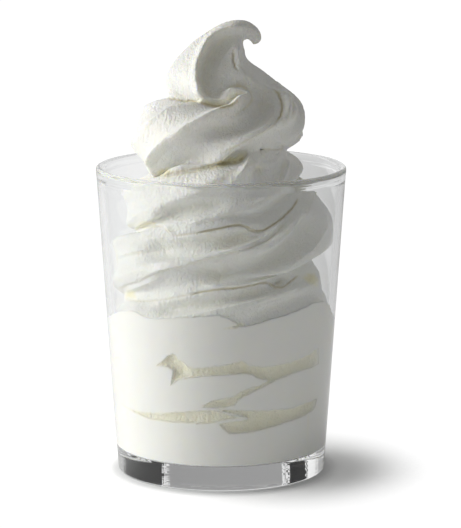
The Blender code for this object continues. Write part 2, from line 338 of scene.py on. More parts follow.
# hollows in the pressed skin: depth in millimetres, outline
hollows = (
    (1.7, (
        (153, 366), (160, 362.5), (166, 357), (171, 353.5), (176, 355), (179, 360), (185, 363),
        (188, 367), (195, 368.5), (210, 367.5), (225, 365.5), (236, 362.5), (243, 361),
        (250, 365.5), (262, 367), (275, 366), (288, 363), (298, 359.5), (308, 355), (314, 351),
        (319, 347), (319.5, 365), (313, 369), (305, 371.5), (295, 374.5), (285, 378.5), (275, 383),
        (265, 388), (255, 393), (245, 398), (238, 402.5), (235, 407), (222, 409.5), (198, 409),
        (205, 405), (213, 400.5), (224, 399), (233, 396.5), (241, 391.5), (250, 388.5), (258, 386),
        (267, 381.5), (262, 381), (256, 379.5), (253, 376.5), (245, 375.5), (225, 377), (205, 378),
        (190, 379.5), (180, 381), (172, 386), (169, 388), (171, 380), (172, 372), (166, 368.5),
    )),
    (0.7, (
        (119, 401), (128, 408), (140, 412), (160, 413), (180, 412), (200, 410.5), (212, 410),
        (225, 413.5), (236, 417), (246, 419.5), (228, 421.5), (216, 424), (205, 426), (190, 425),
        (170, 424), (150, 421.5), (135, 415), (124, 408),
    )),
    (1.8, (
        (212, 409.5), (225, 410), (240, 410.5), (255, 411), (270, 410.5), (285, 409.5), (297, 407),
        (307, 403), (315, 399.5), (318, 398), (316, 408), (313, 412.5), (306, 417), (298, 420.5),
        (285, 424.5), (275, 428), (265, 431), (255, 433), (245, 434.5), (235, 435.5), (228, 434.5),
        (222, 430), (218, 424.5), (228, 422), (240, 421), (247, 419.5), (236, 416.5), (225, 413.5),
    )),
    (0.8, ((218, 331), (225, 328), (235, 326), (241, 322), (246, 326), (236, 330))),
    (0.25, ((111, 362), (113, 359), (117, 357), (120, 358.5), (121.5, 363), (118, 360))),
)

# strokes on the free surface: kind, height in millimetres, half width in points, line left to right
strokes = (
    # the tip
    ("ridge", 2.0, 8, (
        (210, 99), (204, 97), (199.5, 91), (196, 82), (195.5, 72), (198, 62), (202.5, 52),
        (208, 43), (214, 37), (223, 31.5), (235, 28), (247, 26.5),
    )),
    ("flute", 2.3, 12, (
        (228, 100), (219, 96), (210, 88), (206.5, 77), (208, 66), (212, 56), (218, 46), (227, 38),
        (241, 32),
    )),
    ("ridge", 1.3, 15, ((238, 30), (238, 42), (238, 52), (239, 62), (241, 72))),
    ("ridge", 0.7, 4, ((234, 46), (236, 56), (239, 65), (242, 71))),
    ("slit", 0.7, 1.6, ((233, 48), (233, 60), (235, 67), (239, 71.5))),
    ("slit", 0.5, 1.6, ((244, 73), (247, 75))),
    ("slit", 0.5, 1.6, ((251, 77), (254, 79))),
    ("flute", 1.0, 10, ((228, 84), (242, 86), (254, 85), (266, 84))),
    ("roll", 1.5, 4.5, (
        (276, 129), (282, 123), (286, 116), (288, 109), (287.5, 102), (285, 96), (280, 90),
        (273, 85.5), (266, 82),
    )),
    ("slit", 0.7, 1.7, (
        (276, 123), (280.5, 116), (282.5, 108), (281.5, 100), (277.5, 93), (272, 88),
    )),
    ("slit", 0.3, 1.6, (
        (222, 153), (230, 149), (240, 144), (250, 139), (260, 134), (270, 128.5), (278, 121),
    )),
    ("ledge", 1.0, 8, (
        (222, 152), (230, 148), (240, 143), (250, 138), (260, 133), (270, 127.5), (278, 120),
    )),
    ("flute", 1.8, 12, (
        (190, 140), (205, 134), (225, 129), (242, 125), (256, 118), (264, 109), (266.5, 99),
        (265, 89), (262, 79),
    )),
    # the curl under it
    ("ridge", 2.1, 7, (
        (150, 172), (150, 166), (152, 159), (156, 153), (162, 147), (170, 140), (180, 134),
        (190, 127), (200, 122), (210, 117), (220, 113), (230, 110), (238, 106.5), (244, 102.5),
    )),
    ("roll", 2.2, 5, (
        (228, 111), (238, 106.5), (244, 102.5), (246.5, 98.5), (245.5, 94.5), (241, 92), (234, 92),
        (226, 94.5), (219, 97),
    )),
    ("flute", 1.8, 5, ((206, 102), (214, 103), (222, 103), (230, 101), (237, 97))),
    ("slit", 1.5, 2.2, (
        (198, 101.5), (206, 104), (214, 106), (223, 107), (231, 105.5), (236, 102), (238.5, 98),
    )),
    ("slit", 0.8, 1.6, ((166, 98.5), (175, 99), (184, 101), (192, 100.5), (202, 103))),
    ("ridge", 0.5, 4, ((143, 129), (148, 123), (155, 117.5), (163, 112), (172, 106.5), (185, 102))),
    ("ledge", 1.0, 14, (
        (138, 182), (150, 178), (160, 175.5), (172, 172.5), (186, 169.5), (202, 167),
    )),
    ("ledge", 1.5, 13, (
        (122, 184), (136, 181), (150, 178), (160, 175.5), (172, 172.5), (186, 169.5), (200, 167.5),
        (210, 164), (220, 160), (231, 155), (242, 149),
    )),
    # below the second turn
    ("slit", 0.6, 1.6, (
        (153, 178), (165, 175), (176, 172), (190, 169.5), (200, 168.5), (210, 165), (220, 161.5),
    )),
    ("slit", 1.4, 2.4, (
        (214, 163), (224, 162.5), (231, 163), (238, 161.5), (243, 158), (248, 154),
    )),
    ("ridge", 1.1, 6, (
        (220, 188), (228, 183), (236, 177.5), (243, 171), (248, 164.5), (251, 158), (253, 151),
    )),
    ("slit", 0.3, 1.5, ((262, 149), (268, 149.5), (276, 150), (286, 147.5))),
    ("flute", 1.7, 8, ((255, 186), (259, 174), (264, 163), (270, 153))),
    ("ridge", 1.0, 5, ((280, 187), (285, 174), (287, 163), (285, 153))),
    # the third turn, behind the rim
    ("ridge", 0.25, 4, (
        (128, 221), (140, 213), (150, 207.5), (160, 203), (175, 199), (190, 196.5), (207, 194.5),
    )),
    ("ridge", 1.3, 10, (
        (108, 246), (128, 230), (137, 225), (145, 220), (155, 215), (165, 211), (172, 208.5),
    )),
    ("flute", 1.4, 10, (
        (150, 219), (162, 216), (175, 212), (190, 208.5), (205, 206), (220, 203.5), (235, 200),
    )),
    ("ledge", 0.8, 9, (
        (185, 225), (200, 221), (215, 217), (229, 212.5), (236, 211), (243, 208), (250, 202.5),
        (257, 198), (270, 193),
    )),
    ("slit", 0.4, 1.7, ((172, 236), (182, 234.5), (192, 233), (202, 231.5), (212, 229.5))),
    ("slit", 1.0, 1.7, (
        (196, 232.5), (204, 231), (212, 229.5), (222, 227.5), (232, 225), (240, 224.5), (246, 226),
        (250, 228.5), (257, 230.5), (263, 229.5), (270, 226), (276, 222), (283, 216), (290, 209),
        (295, 203), (298, 196),
    )),
    ("slit", 0.4, 1.6, ((128, 229), (140, 227.5), (150, 226.5), (160, 225.5), (166, 226))),
    ("slit", 0.5, 1.7, ((165, 225), (168, 230), (173, 235))),
    ("ridge", 0.7, 4, ((166, 224), (170, 230), (176, 234))),
    # the fourth
    ("ledge", 0.5, 6, ((111, 258), (120, 256), (130, 253), (140, 250), (150, 247.5), (160, 245))),
    ("flute", 2.3, 13, (
        (130, 257), (145, 253), (160, 250), (175, 250), (190, 249), (205, 247), (220, 243.5),
        (235, 240), (250, 236), (263, 232), (274, 227),
    )),
    ("ledge", 0.5, 6, (
        (116, 289), (123, 285), (130, 281.5), (138, 279), (145, 276), (152.5, 272), (160, 268.5),
        (170, 265.5),
    )),
    ("ridge", 0.9, 9, ((122, 293), (135, 287), (147, 282), (158, 277), (168, 273))),
    ("ledge", 2.0, 10, (
        (150, 273), (160, 268.5), (167, 266.5), (175, 264.5), (182, 263), (190, 261), (197, 258.5),
        (205, 256.5), (212, 254.5), (220, 252.5), (228, 250.5), (235, 248.5), (243, 246),
        (250, 243.5), (258, 239.5), (265, 236), (270, 232), (275, 228), (280, 222), (285, 216),
    )),
    ("flute", 0.8, 10, ((175, 276), (190, 274), (205, 274), (220, 275))),
    ("flute", 2.1, 12, (
        (190, 271), (205, 273), (220, 275), (235, 272), (250, 268.5), (265, 263.5), (278, 256.5),
        (288, 248.5), (296, 240), (302, 230), (306, 219), (307.5, 207), (306, 196),
    )),
    ("ridge", 0.9, 7, (
        (252, 256), (265, 248), (276, 241), (286, 233), (294, 224), (299, 214), (301, 203),
    )),
    ("ridge", 1.3, 9, (
        (200, 287), (218, 285), (235, 284), (250, 281.5), (265, 277.5), (280, 271), (295, 262),
        (307, 251), (315, 240), (320, 229), (322, 217), (320, 203),
    )),
    ("slit", 0.3, 1.6, (
        (122, 298), (135, 300), (150, 300.5), (165, 299), (178, 296.5), (190, 294), (200, 292),
    )),
    ("slit", 0.8, 1.6, (
        (190, 294), (200, 292), (210, 290), (220, 288.5), (230, 288), (240, 287), (250, 285),
        (258, 283), (266, 282), (275, 286.5), (281, 287), (287, 283), (293, 278), (298, 274),
    )),
    ("flute", 2.0, 5, ((268, 282), (276, 282), (284, 280), (291, 277))),
    # the fifth, above the contact
    ("flute", 1.4, 9, (
        (150, 312), (165, 309.5), (180, 307), (200, 304), (220, 301), (235, 298), (250, 294.5),
        (265, 291.5), (282, 289),
    )),
    ("ledge", 1.4, 9, (
        (203, 317), (212, 315.5), (222, 313.5), (230, 311), (236, 309), (243, 307.5), (250, 305),
        (258, 302), (265, 299), (272, 296.5), (280, 295), (288, 291), (294, 287), (298, 282),
    )),
    ("flute", 0.8, 7, ((246, 318), (262, 312), (280, 305), (298, 297), (312, 290))),
)

# where two forms run into each other without a crease: 1 to take in what looks away too, outline
blends = (
    (0, (
        (243, 88), (256, 84), (275, 84), (292, 92), (300, 104), (292, 110), (270, 106), (250, 106),
        (246, 98),
    )),
    (0, ((248, 92), (262, 90), (280, 92), (290, 100), (280, 104), (262, 103), (250, 101))),
    (1, (
        (244, 144), (253, 136), (266, 134), (279, 138), (284, 150), (278, 162), (262, 165),
        (247, 160),
    )),
)

# painted bounce light: patches tinted yellower where light bounces into creases and under the turns
bounceLightPatches = (
    ((154, 178), (157, 170), (166, 166), (175, 170), (177, 173), (165, 176)),
    ((119, 297), (121, 290), (130, 287), (139, 290), (138, 297), (128, 300)),
    ((298, 276), (306, 272), (314, 270), (319, 280), (316, 288), (305, 284)),
    ((131, 228), (140, 221), (152, 219), (162, 224), (150, 227)),
    (
        (196, 99), (204, 98), (214, 102), (226, 103), (236, 100), (233, 106), (220, 107),
        (208, 105),
    ),
    (
        (200, 168), (216, 162), (224, 158), (240, 153), (248, 152), (240, 162), (225, 168),
        (210, 171),
    ),
)

# what fills the creases from behind: turns, reach, level, half height
fillers = (
    (
        (2.9, 33.0, 58.0, 5.0), (3.05, 34.5, 62.0, 5.5), (3.15, 35.4, 64.5, 6.0),
        (3.25, 35.6, 68.5, 6.0), (3.3125, 35.0, 70.0, 5.5), (3.36, 34.0, 70.5, 5.0),
        (3.5, 33.0, 71.0, 5.0), (3.75, 32.0, 78.0, 5.0),
    ),
    (
        (4.0, 28.0, 84.0, 3.0), (4.1, 31.0, 88.0, 4.0), (4.16, 33.2, 89.3, 5.0),
        (4.2, 34.0, 89.8, 5.5), (4.25, 34.0, 90.3, 5.5), (4.3125, 33.5, 89.0, 5.0),
        (4.375, 32.0, 92.0, 4.5), (4.5, 28.0, 97.0, 4.0),
    ),
    (
        (2.94, 36.0, 54.5, 3.0), (3.0, 37.0, 55.5, 4.0), (3.05, 37.1, 56.0, 4.2),
        (3.1, 37.1, 56.3, 4.2), (3.15, 37.0, 57.0, 4.0), (3.2, 35.5, 58.0, 3.5),
        (3.26, 33.5, 59.0, 3.0),
    ),
)


def smoothRows(keys, rows, at):
    # rows of values that pass smoothly through the rows given at the keys
    keys = np.array(keys, float)
    rows = np.array(rows, float).reshape(len(keys), -1)
    steps = np.diff(keys)[:, None]
    slopes = np.diff(rows, axis=0) / steps
    tangents = np.vstack([slopes[:1], slopes[1:], slopes[-1:]])
    tangents[1:-1] = (slopes[:-1] * steps[1:] + slopes[1:] * steps[:-1]) / (steps[1:] + steps[:-1])
    at = np.atleast_1d(at).astype(float)
    i = np.clip(np.searchsorted(keys, at) - 1, 0, len(keys) - 2)
    t = np.clip((at - keys[i])[:, None] / steps[i], 0.0, 1.0)
    start = (2 * t**3 - 3 * t**2 + 1) * rows[i] + (t**3 - 2 * t**2 + t) * steps[i] * tangents[i]
    end = (3 * t**2 - 2 * t**3) * rows[i + 1] + (t**3 - t**2) * steps[i] * tangents[i + 1]
    return start + end


def byTurn(rows, offsets, at):
    keys = [turn + offset for turn in range(len(rows)) for offset in offsets]
    values = [value for row in rows for value in row]
    return smoothRows(keys, values, at)[:, 0]


def grooveDepth(angles, crests, depths):
    # how deep the section is cut in at each angle: nothing on a crest
    edges = np.array(crests + (crests[0] + 360.0,))
    angles = np.mod(angles - edges[0], 360.0) + edges[0]
    i = np.clip(np.searchsorted(edges, angles, side="right") - 1, 0, len(depths) - 1)
    wave = np.abs(np.sin(np.pi * (angles - edges[i]) / (edges[i + 1] - edges[i])))
    soft = creamShape["crestSoftness"]
    wave = (np.hypot(wave, soft) - soft) / (math.hypot(1.0, soft) - soft)
    return wave * np.array(depths)[i]


def tube(rings, points, faces):
    # adds a closed tube through the rings to the lists
    start = len(points)
    count = len(rings[0])
    for ring in rings:
        points.extend(np.asarray(ring) * mm)
    for i in range(len(rings) - 1):
        for j in range(count):
            k = (j + 1) % count
            a, b = start + i * count, start + (i + 1) * count
            faces.append((a + j, a + k, b + k, b + j))
    faces.append(tuple(start + j for j in reversed(range(count))))
    last = start + (len(rings) - 1) * count
    faces.append(tuple(last + j for j in range(count)))


def pressedRadius(z):
    corner = glassShape["cornerRound"]
    drop = np.clip(glassShape["floor"] + corner - z, 0.0, corner)
    return innerWall(z) + creamShape["intoWall"] - corner + np.sqrt(corner**2 - drop**2)


def press(points, clearance=0.0):
    # hold points inside the glass
    points[:, 2] = np.maximum(points[:, 2], glassShape["floor"] + creamShape["offFloor"])
    radius = np.hypot(points[:, 0], points[:, 1])
    limit = np.where(points[:, 2] < glassHeight, pressedRadius(points[:, 2]) - clearance, 1000.0)
    points[:, :2] *= np.minimum(1.0, limit / np.maximum(radius, 1e-6))[:, None]
    return points


def ropeSection(turns):
    # the rope at these turns: radius of its middle, level of its middle, half height
    low = byTurn(creases, creaseTurns, turns)
    high = byTurn(creases, creaseTurns, turns + 1.0)
    axisRadius = byTurn(reaches, reachTurns, turns) - creamShape["ropeHalfWidth"]
    return axisRadius, (low + high) / 2, creamShape["ropeOverlap"] * (high - low) / 2


def ropeRings(perTurn=170, around=160):
    coil = np.arange(creamShape["coilTurns"] * 16 + 1) / 16
    axisRadius, middle, halfHeight = ropeSection(coil)
    angle = np.radians(180.0 + 360.0 * coil)
    halfWidth = np.full(len(coil), creamShape["ropeHalfWidth"])
    x, y = axisRadius * np.cos(angle), axisRadius * np.sin(angle)
    rows = np.stack([x, y, middle, halfWidth, halfHeight], axis=1)
    ends = np.array(tuck)
    keys = np.concatenate([coil, ends[:, 0]])
    rows = np.vstack([rows, ends[:, [1, 2, 3, 4, 4]]])
    turns = np.linspace(0.0, keys[-1], round(perTurn * keys[-1]))
    rope = smoothRows(keys, rows, turns)
    state = np.array(ropeState)
    twist, depth, below, above = smoothRows(state[:, 0], state[:, 1:], turns).T

    center = rope[:, :3]
    along = np.gradient(center, axis=0)
    along /= np.linalg.norm(along, axis=1)[:, None]
    heading = np.radians(180.0 + 360.0 * np.minimum(turns, tuck[0][0]))
    out = np.stack([np.cos(heading), np.sin(heading), np.zeros(len(turns))], axis=1)
    out -= (out * along).sum(axis=1)[:, None] * along
    out /= np.linalg.norm(out, axis=1)[:, None]
    up = np.cross(out, along)

    a = np.linspace(0.0, 2 * np.pi, around, endpoint=False)
    rings = []
    for i in range(len(turns)):
        power = np.where(np.sin(a) < 0.0, below[i], above[i])
        size = (np.abs(np.cos(a)) ** power + np.abs(np.sin(a)) ** power) ** (-1 / power)
        size *= 1.0 - depth[i] * grooveDepth(np.degrees(a) - twist[i], ropeCrests, ropeGrooves)
        ring = center[i] + np.outer(size * np.cos(a) * rope[i, 3], out[i])
        ring += np.outer(size * np.sin(a) * rope[i, 4], up[i])
        rings.append(press(ring, creamShape["clearance"]))
    return rings


def ridgeDistance(points):
    # how far above the nearest crest of the rope each point lies, in millimetres
    radius = np.hypot(points[:, 0], points[:, 1])
    part = np.mod(np.degrees(np.arctan2(points[:, 1], points[:, 0])) / 360.0 - 0.5, 1.0)
    turns = part.copy()
    for turn in range(1, 6):
        above = points[:, 2] > byTurn(creases, creaseTurns, part + turn)
        turns = np.where(above & (part + turn <= creamShape["ledgesUpTo"]), part + turn, turns)
    axisRadius, middle, halfHeight = ropeSection(turns)
    across = (radius - axisRadius) / creamShape["ropeHalfWidth"]
    angle = np.degrees(np.arctan2((points[:, 2] - middle) / halfHeight, across))
    state = np.array(ropeState)
    angle -= smoothRows(state[:, 0], state[:, 1], turns)[:, 0]
    away = np.full(len(points), 1000.0)
    for crest in ropeCrests:
        off = (np.mod(angle - crest + 180.0, 360.0) - 180.0) * creamShape["skinPerDegree"]
        away = np.where(np.abs(off) < np.abs(away), off, away)
    return away


def tipRings(steps=150, around=128):
    rows = smoothRows(range(len(tip)), tip, np.linspace(0, len(tip) - 1, steps))
    a = np.linspace(0.0, 2 * np.pi, around, endpoint=False)
    rings = []
    for x, z, halfWidth, halfDepth, tilt, twist in rows:
        right = (math.cos(math.radians(tilt)), 0.0, math.sin(math.radians(tilt)))
        size = 1.0 - grooveDepth(np.degrees(a) - twist, tipCrests, tipGrooves)
        ring = np.array((x, 0.0, z)) + np.outer(size * np.cos(a) * halfWidth, right)
        rings.append(ring + np.outer(size * np.sin(a) * halfDepth, (0.0, 1.0, 0.0)))
    return rings


def coreRings(levels, radius, around=160):
    a = np.linspace(0.0, 2 * np.pi, around, endpoint=False)
    circle = np.stack([np.cos(a), np.sin(a), np.zeros(around)], axis=1)
    return [circle * radius + (0.0, 0.0, z) for z in levels]


def fillerRings(knots, around=32):
    knots = np.array(knots)
    a = np.linspace(0.0, 2 * np.pi, around, endpoint=False)
    rings = []
    turns = np.linspace(knots[0, 0], knots[-1, 0], 90)
    for turn, (reach, level, half) in zip(turns, smoothRows(knots[:, 0], knots[:, 1:], turns)):
        heading = math.radians(180.0 + 360.0 * turn)
        out = np.array((math.cos(heading), math.sin(heading), 0.0))
        ring = out * (reach - half) + (0.0, 0.0, level) + np.outer(half * np.cos(a), out)
        rings.append(ring + np.outer(half * np.sin(a), (0.0, 0.0, 1.0)))
    return rings


def toPicture(points):
    # where the camera shows each point, in picture points
    turned = Matrix.Rotation(math.radians(cameraLook["turn"]), 3, "Z")
    tilted = turned @ Matrix.Rotation(math.radians(90.0 - cameraLook["lookDown"]), 3, "X")
    inView = (points * mm - np.array(cameraLook["place"])) @ np.array(tilted)
    scale = cameraLook["lens"] / cameraLook["sensor"] * max(pictureSize) / -inView[:, 2]
    wide, high = pictureSize
    return np.stack([wide / 2 + inView[:, 0] * scale, high / 2 - inView[:, 1] * scale], axis=1)


def onOuterWall(points):
    # where the wall's bending of light shows a point on its inside: on the outside, further out
    shown = np.linspace(-1.0, 1.0, 401)
    ratio, ior = 0.94, glassLook["ior"]
    headings = np.arcsin(shown) + np.arcsin(shown / (ior * ratio)) - np.arcsin(shown / ior)
    heading = np.arctan2(points[:, 0], -points[:, 1])
    p = np.interp(heading, headings, shown)
    radius = outerWall(points[:, 2])
    return np.stack([p * radius, -np.sqrt(1.0 - p * p) * radius, points[:, 2]], axis=1)


def along(line, spots):
    # distance of each spot from a line, on which side, and how far from the line's ends
    best = np.full(len(spots), 1e9)
    side = np.zeros(len(spots))
    place = np.zeros(len(spots))
    line = np.array(line, float)
    start = 0.0
    for a, b in zip(line[:-1], line[1:]):
        step = b - a
        length = np.hypot(*step)
        t = np.clip(((spots - a) @ step) / length**2, 0.0, 1.0)
        away = spots - a - t[:, None] * step
        distance = np.hypot(away[:, 0], away[:, 1])
        nearer = distance < best
        best = np.where(nearer, distance, best)
        side = np.where(nearer, np.sign(step[0] * away[:, 1] - step[1] * away[:, 0]), side)
        place = np.where(nearer, start + t * length, place)
        start += length
    return best, side, np.minimum(place, start - place)


def inside(outline, spots):
    # depth of each spot inside an outline, and 0 outside
    odd = np.zeros(len(spots), bool)
    corners = np.array(outline, float)
    for a, b in zip(corners, np.roll(corners, -1, axis=0)):
        crosses = (a[1] > spots[:, 1]) != (b[1] > spots[:, 1])
        slope = (b[0] - a[0]) / (b[1] - a[1]) if b[1] != a[1] else 0.0
        odd ^= crosses & (spots[:, 0] < a[0] + slope * (spots[:, 1] - a[1]))
    return np.where(odd, along(tuple(outline) + (outline[0],), spots)[0], 0.0)


# how what is drawn becomes relief, in points of the picture
drawnShape = {
    "drop": 2.7,  # how wide the drop of a ledge is
    "undercut": 0.25,  # share of its height
    "undercutWidth": 5.0,
    "torn": 0.5,  # how far a torn line strays, here and below
    "fadeAtEnds": 6.0,
    "hollowTorn": 0.9,
    "hollowEdge": 4.0,  # how far inside its outline each shape is at its full strength
    "blendEdge": 5.0,
    "warmEdge": 4.0,
    "warmTorn": 2.0,
}


def strokeHeight(kind, size, width, distance, side):
    near = np.clip(1.0 - distance / width, 0.0, 1.0)
    if kind == "ridge":
        return size * near**1.6
    if kind == "roll":
        return size * (1.0 - np.clip(distance / width, 0.0, 1.0) ** 2)
    if kind == "flute":
        return -size * (1.0 - np.clip(distance / width, 0.0, 1.0) ** 2) ** 2
    if kind == "slit":
        return -size * near**1.3
    # a ledge rises from above, drops sharply and is undercut below
    s = drawnShape
    drop = 1.0 - np.clip(distance / s["drop"], 0.0, 1.0) * (1.0 + s["undercut"])
    rise = np.clip(1.0 - (distance - s["drop"]) / s["undercutWidth"], 0.0, 1.0) ** 1.5
    below = np.where(distance < s["drop"], drop, -s["undercut"] * rise)
    return size * np.where(side < 0, near**1.5, below)


def drawStrokes(spots, torn):
    # relief in millimetres, and how much painted slit shade each spot gets, for spots on the picture
    relief = np.zeros(len(spots))
    slitShade = np.zeros(len(spots))
    for kind, size, width, line in strokes:
        line = np.array(line, float)
        low, high = line.min(axis=0) - width - 3, line.max(axis=0) + width + 3
        close = ((spots > low) & (spots < high)).all(axis=1)
        if not close.any():
            continue
        distance, side, toEnd = along(line, spots[close])
        if kind in ("ledge", "slit"):
            # torn along the line itself, and less so beside it
            ragged = torn[close] * drawnShape["torn"] * np.clip(1.3 - distance / 3.0, 0.0, 1.0)
            signed = distance * side + ragged
            distance, side = np.abs(signed), np.sign(signed)
        fade = drawnShape["fadeAtEnds"] + (2.4 if kind == "flute" else 1.4) * width
        shown = np.clip((toEnd + 1.0) / fade, 0.0, 1.0)
        shown = shown * shown * (3.0 - 2.0 * shown)
        gain = 1.0 if kind in ("slit", "ledge") else creamShape["strokeGain"]
        relief[close] += strokeHeight(kind, size, width, distance, side) * shown * gain
        if kind == "slit":
            # the core of a slit also gets painted shade
            core = np.clip(1.2 - distance / width, 0.0, 1.0) ** 2
            slitShade[close] = np.maximum(slitShade[close], core * shown * min(1.0, size))
    return relief, slitShade


def contactLevel(headings):
    # level of the upper edge of the contact, at headings from the front in radians
    line = np.array(contactTop, float)
    side = np.linspace(-1.5, 1.5, 301)
    levels = np.linspace(40.0, 75.0, 141)
    across, up = np.meshgrid(side, levels, indexing="ij")
    radius = innerWall(up)
    grid = np.stack([np.sin(across) * radius, -np.cos(across) * radius, up], axis=-1).reshape(-1, 3)
    spots = toPicture(onOuterWall(grid)).reshape(len(side), len(levels), 2)
    found = []
    for row in spots:
        edge = np.interp(row[:, 0], line[:, 0], line[:, 1])
        found.append(levels[np.argmin(np.abs(row[:, 1] - edge))])
    # behind, the edge keeps a level between the two sides'
    keys = np.concatenate([side, [math.pi, 2 * math.pi + side[0]]])
    found += [creamShape["backLevel"], found[0]]
    return np.interp(np.mod(headings - side[0], 2 * math.pi) + side[0], keys, found)


def contactRings(around=720):
    # the skin pressed on the glass, up to its wandering upper edge
    floor = glassShape["floor"] + creamShape["offFloor"]
    a = np.linspace(0.0, 2 * np.pi, around, endpoint=False)
    top = contactLevel(a + math.pi / 2) - creamShape["belowEdge"]
    top = top + [0.5 * noise.noise((8.0 * math.cos(t), 8.0 * math.sin(t), 0.0)) for t in a]
    circle = np.stack([np.cos(a), np.sin(a), np.zeros(around)], axis=1)
    rings = []
    for z in (floor, floor + 0.5, floor + glassShape["cornerRound"]):
        rings.append(circle * pressedRadius(z) + (0.0, 0.0, z))
    for part in (0.5, 0.9, 0.97, 1.0):
        z = floor + (top - floor) * part
        rings.append(circle * pressedRadius(z)[:, None] + np.outer(z, (0.0, 0.0, 1.0)))
    # its shoulder leads over to the rope, less so on the right
    shoulder = np.clip(0.35 - 1.6 * np.cos(a), 0.2, 1.0)
    for inward, up in creamShape["shoulder"]:
        z = top + up * shoulder
        rings.append(circle * (pressedRadius(z) - inward)[:, None] + np.outer(z, (0.0, 0.0, 1.0)))
    return rings


def neighbourMean(mesh, values, rounds):
    # values at the points, averaged with their neighbours a number of times
    count = len(mesh.vertices)
    ends = np.empty(len(mesh.edges) * 2, np.int64)
    mesh.edges.foreach_get("vertices", ends)
    a, b = ends.reshape(-1, 2).T
    degree = np.maximum(np.bincount(a, minlength=count) + np.bincount(b, minlength=count), 1)
    for _ in range(rounds):
        total = np.zeros_like(values)
        for column in range(values.shape[1]):
            total[:, column] = np.bincount(a, values[b, column], count)
            total[:, column] += np.bincount(b, values[a, column], count)
        values = 0.5 * values + 0.5 * total / degree[:, None]
    return values


def pointsOf(mesh, what="co"):
    # places, or normals where "vector" is asked for
    values = np.empty(len(mesh.vertices) * 3)
    source = mesh.vertices if what == "co" else mesh.vertex_normals
    source.foreach_get(what, values)
    return values.reshape(-1, 3)


def storeMask(mesh, name, values):
    made = mesh.attributes.new(name, "FLOAT", "POINT")
    made.data.foreach_set("value", np.asarray(values, np.float32))


def skinOf(points):
    # how far each point is pressed on the glass, from 0 to 1, and the radius of the wall there
    radius = np.hypot(points[:, 0], points[:, 1])
    limit = pressedRadius(np.minimum(points[:, 2], glassHeight))
    near = np.clip((radius - (limit - 0.35)) / 0.2, 0.0, 1.0)
    return np.where(points[:, 2] < glassHeight - 1.0, near, 0.0), limit


def tornOf(points):
    # how far a torn edge strays at each point
    return np.array([noise.noise(p * 0.55) + 0.5 * noise.noise(p * 1.5) for p in points])


def reliefOf(points, front):
    # the frozen surface: torn ledges along the crests, pulled fibres, grain and slow lumps
    away = ridgeDistance(points)
    inSwirl = np.clip((122.0 - points[:, 2]) / 4.0, 0.0, 1.0)
    inSwirl *= np.clip(1.0 - 2.0 * front, 0.0, 1.0)
    (grain, grainSize), (lump, lumpSize) = creamShape["lumps"]
    widthAbove, widthBelow = creamShape["ledgeWidths"]
    usual, least = creamShape["ledgeShown"]
    relief = np.empty(len(points))
    for i, p in enumerate(points):
        turn = math.atan2(p[1], p[0]) * 36.0
        radius = math.hypot(p[0], p[1])
        streak = noise.noise((turn * 0.9, p[2] * 0.26, radius * 0.26))
        relief[i] = creamShape["fibres"] * streak
        relief[i] += grain * noise.noise(p * grainSize) + lump * noise.noise(p * lumpSize)
        if inSwirl[i] > 0.0 and abs(away[i]) < 4.0:
            d = away[i] + 0.45 * noise.noise(p * 0.55) + 0.25 * noise.noise(p * 1.5)
            step = max(0.0, 1.0 - d / widthAbove if d > 0.0 else 1.0 + d / widthBelow)
            shown = min(1.0, max(least, usual + 1.3 * noise.noise(p * 0.07)))
            relief[i] += creamShape["ledge"] * step * shown * inSwirl[i]
    return relief


def facing(points, normals):
    # how much each point looks towards the camera, from 0 to 1
    sight = np.array(cameraLook["place"]) / mm - points
    sight /= np.linalg.norm(sight, axis=1)[:, None]
    start, span = creamShape["facing"]
    return np.clip(((normals * sight).sum(axis=1) - start) / span, 0.0, 1.0)


def calmed(mesh, normals):
    # normals averaged over a few millimetres
    normals = neighbourMean(mesh, normals, creamShape["normalSmoothing"])
    return normals / np.maximum(np.linalg.norm(normals, axis=1), 1e-6)[:, None]


